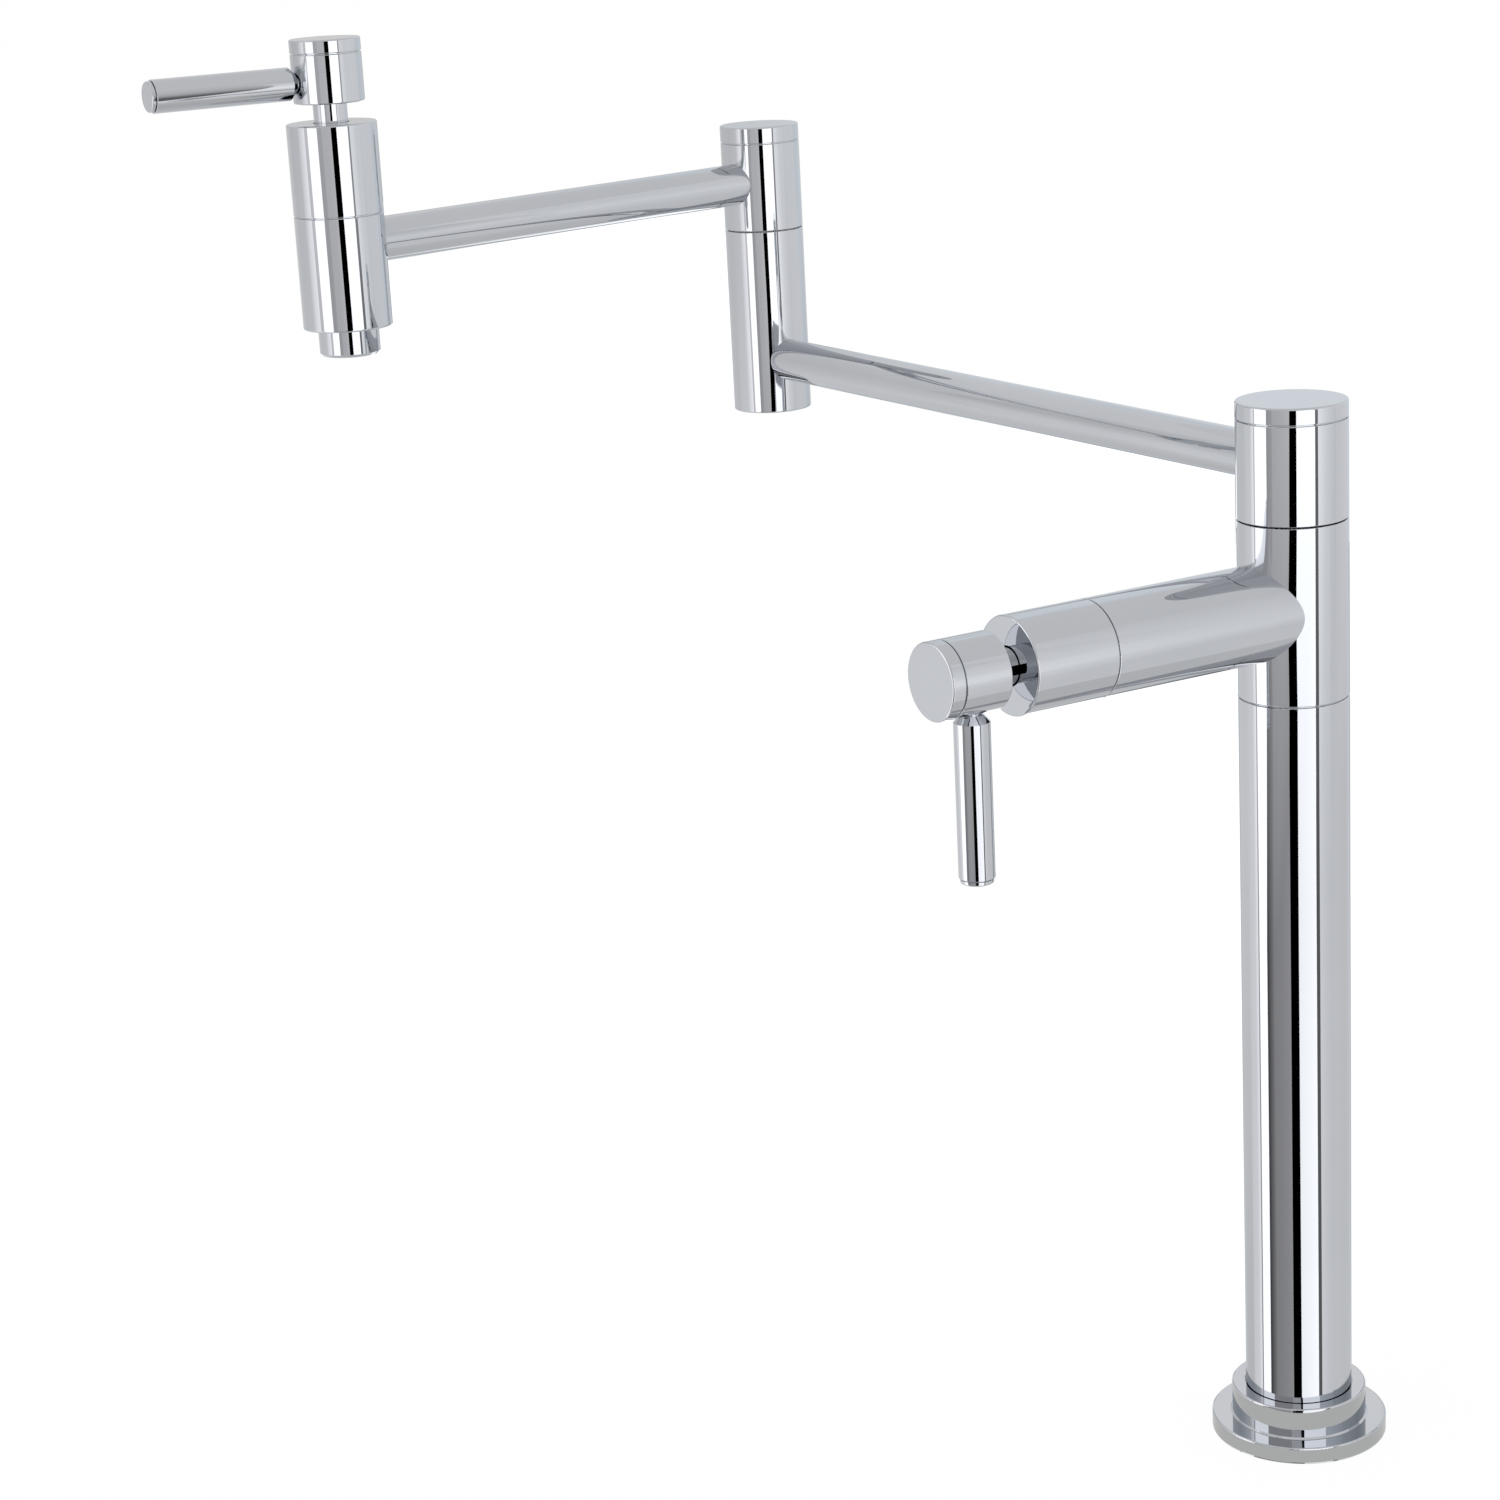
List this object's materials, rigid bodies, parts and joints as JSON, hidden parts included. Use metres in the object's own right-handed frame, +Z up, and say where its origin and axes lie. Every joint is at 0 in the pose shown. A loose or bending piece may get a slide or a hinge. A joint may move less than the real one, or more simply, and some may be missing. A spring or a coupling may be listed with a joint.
{
  "type": "pot filler",
  "caption": "Deck-mounted chrome pot filler: a round riser carries a jointed tube arm that swivels, with lever valves on the riser and on the spout.",
  "frame": {"origin": "centre of the flange's underside, on the deck and on the riser's axis", "axes": "+Z up along the riser; the valve branch points along -Y, the lower arm along -X"},
  "size_m": [0.3209, 0.262, 0.4882],
  "materials": {
    "chrome": "polished",
    "brass": "machined",
    "stainless": "brushed",
    "seal_rubber": "matte",
    "ceramic": "lapped",
    "bearing_plastic": "smooth",
    "insert_plastic": "smooth"
  },
  "bodies": {
    "base": {"flange": "chrome", "collar": "chrome", "deck_gasket": "seal_rubber", "mounting_shank": "brass", "rubber_washer": "seal_rubber", "steel_washer": "stainless", "mounting_nut": "brass", "riser": "chrome", "riser_plug": "brass", "riser_oring": "seal_rubber", "tee_body": "chrome", "head_spindle": "brass", "head_orings": "seal_rubber", "head_thrust_washer": "bearing_plastic", "head_circlip": "stainless", "lower_bonnet": "chrome", "lower_cartridge": "brass", "lower_fixed_disc": "ceramic", "lower_seat_seal": "seal_rubber"},
    "lower_arm": {"swivel_head": "chrome", "head_cap": "chrome", "lower_arm_tube": "chrome", "elbow_body": "chrome", "elbow_spindle": "brass", "elbow_orings": "seal_rubber", "elbow_thrust_washer": "bearing_plastic", "elbow_circlip": "stainless"},
    "upper_arm": {"elbow_sleeve": "chrome", "elbow_cap": "chrome", "upper_arm_tube": "chrome", "spout_body": "chrome", "upper_bonnet": "chrome", "upper_cartridge": "brass", "upper_fixed_disc": "ceramic", "upper_seat_seal": "seal_rubber", "aerator_housing": "chrome", "aerator_insert": "insert_plastic", "aerator_screen": "stainless", "aerator_washer": "seal_rubber"},
    "lower_handle": {"lower_stem": "chrome", "lower_stem_oring": "seal_rubber", "lower_turning_disc": "ceramic", "lower_hub": "chrome", "lower_hub_cap": "chrome", "lower_hub_screw": "stainless", "lower_lever": "chrome", "lower_lever_tip": "chrome"},
    "upper_handle": {"upper_stem": "chrome", "upper_stem_oring": "seal_rubber", "upper_turning_disc": "ceramic", "upper_hub": "chrome", "upper_hub_cap": "chrome", "upper_hub_screw": "stainless", "upper_lever": "chrome", "upper_lever_tip": "chrome"}
  },
  "joints": [
    {"name": "head_swivel", "type": "hinge", "parent": "base", "child": "lower_arm", "pos_m": [0, 0, 0.3002], "axis": [0, 0, 1], "continuous": true},
    {"name": "elbow_swivel", "type": "hinge", "parent": "lower_arm", "child": "upper_arm", "pos_m": [-0.281, 0, 0.3002], "axis": [0, 0, 1], "continuous": true},
    {"name": "lower_valve_turn", "type": "hinge", "parent": "base", "child": "lower_handle", "pos_m": [0, -0.1002, 0.2587], "axis": [0, -1, 0], "range_deg": [0, 90]},
    {"name": "upper_valve_turn", "type": "hinge", "parent": "upper_arm", "child": "upper_handle", "pos_m": [-0.24573, -0.17651, 0.3995], "axis": [0, 0, 1], "range_deg": [0, 90]}
  ]
}
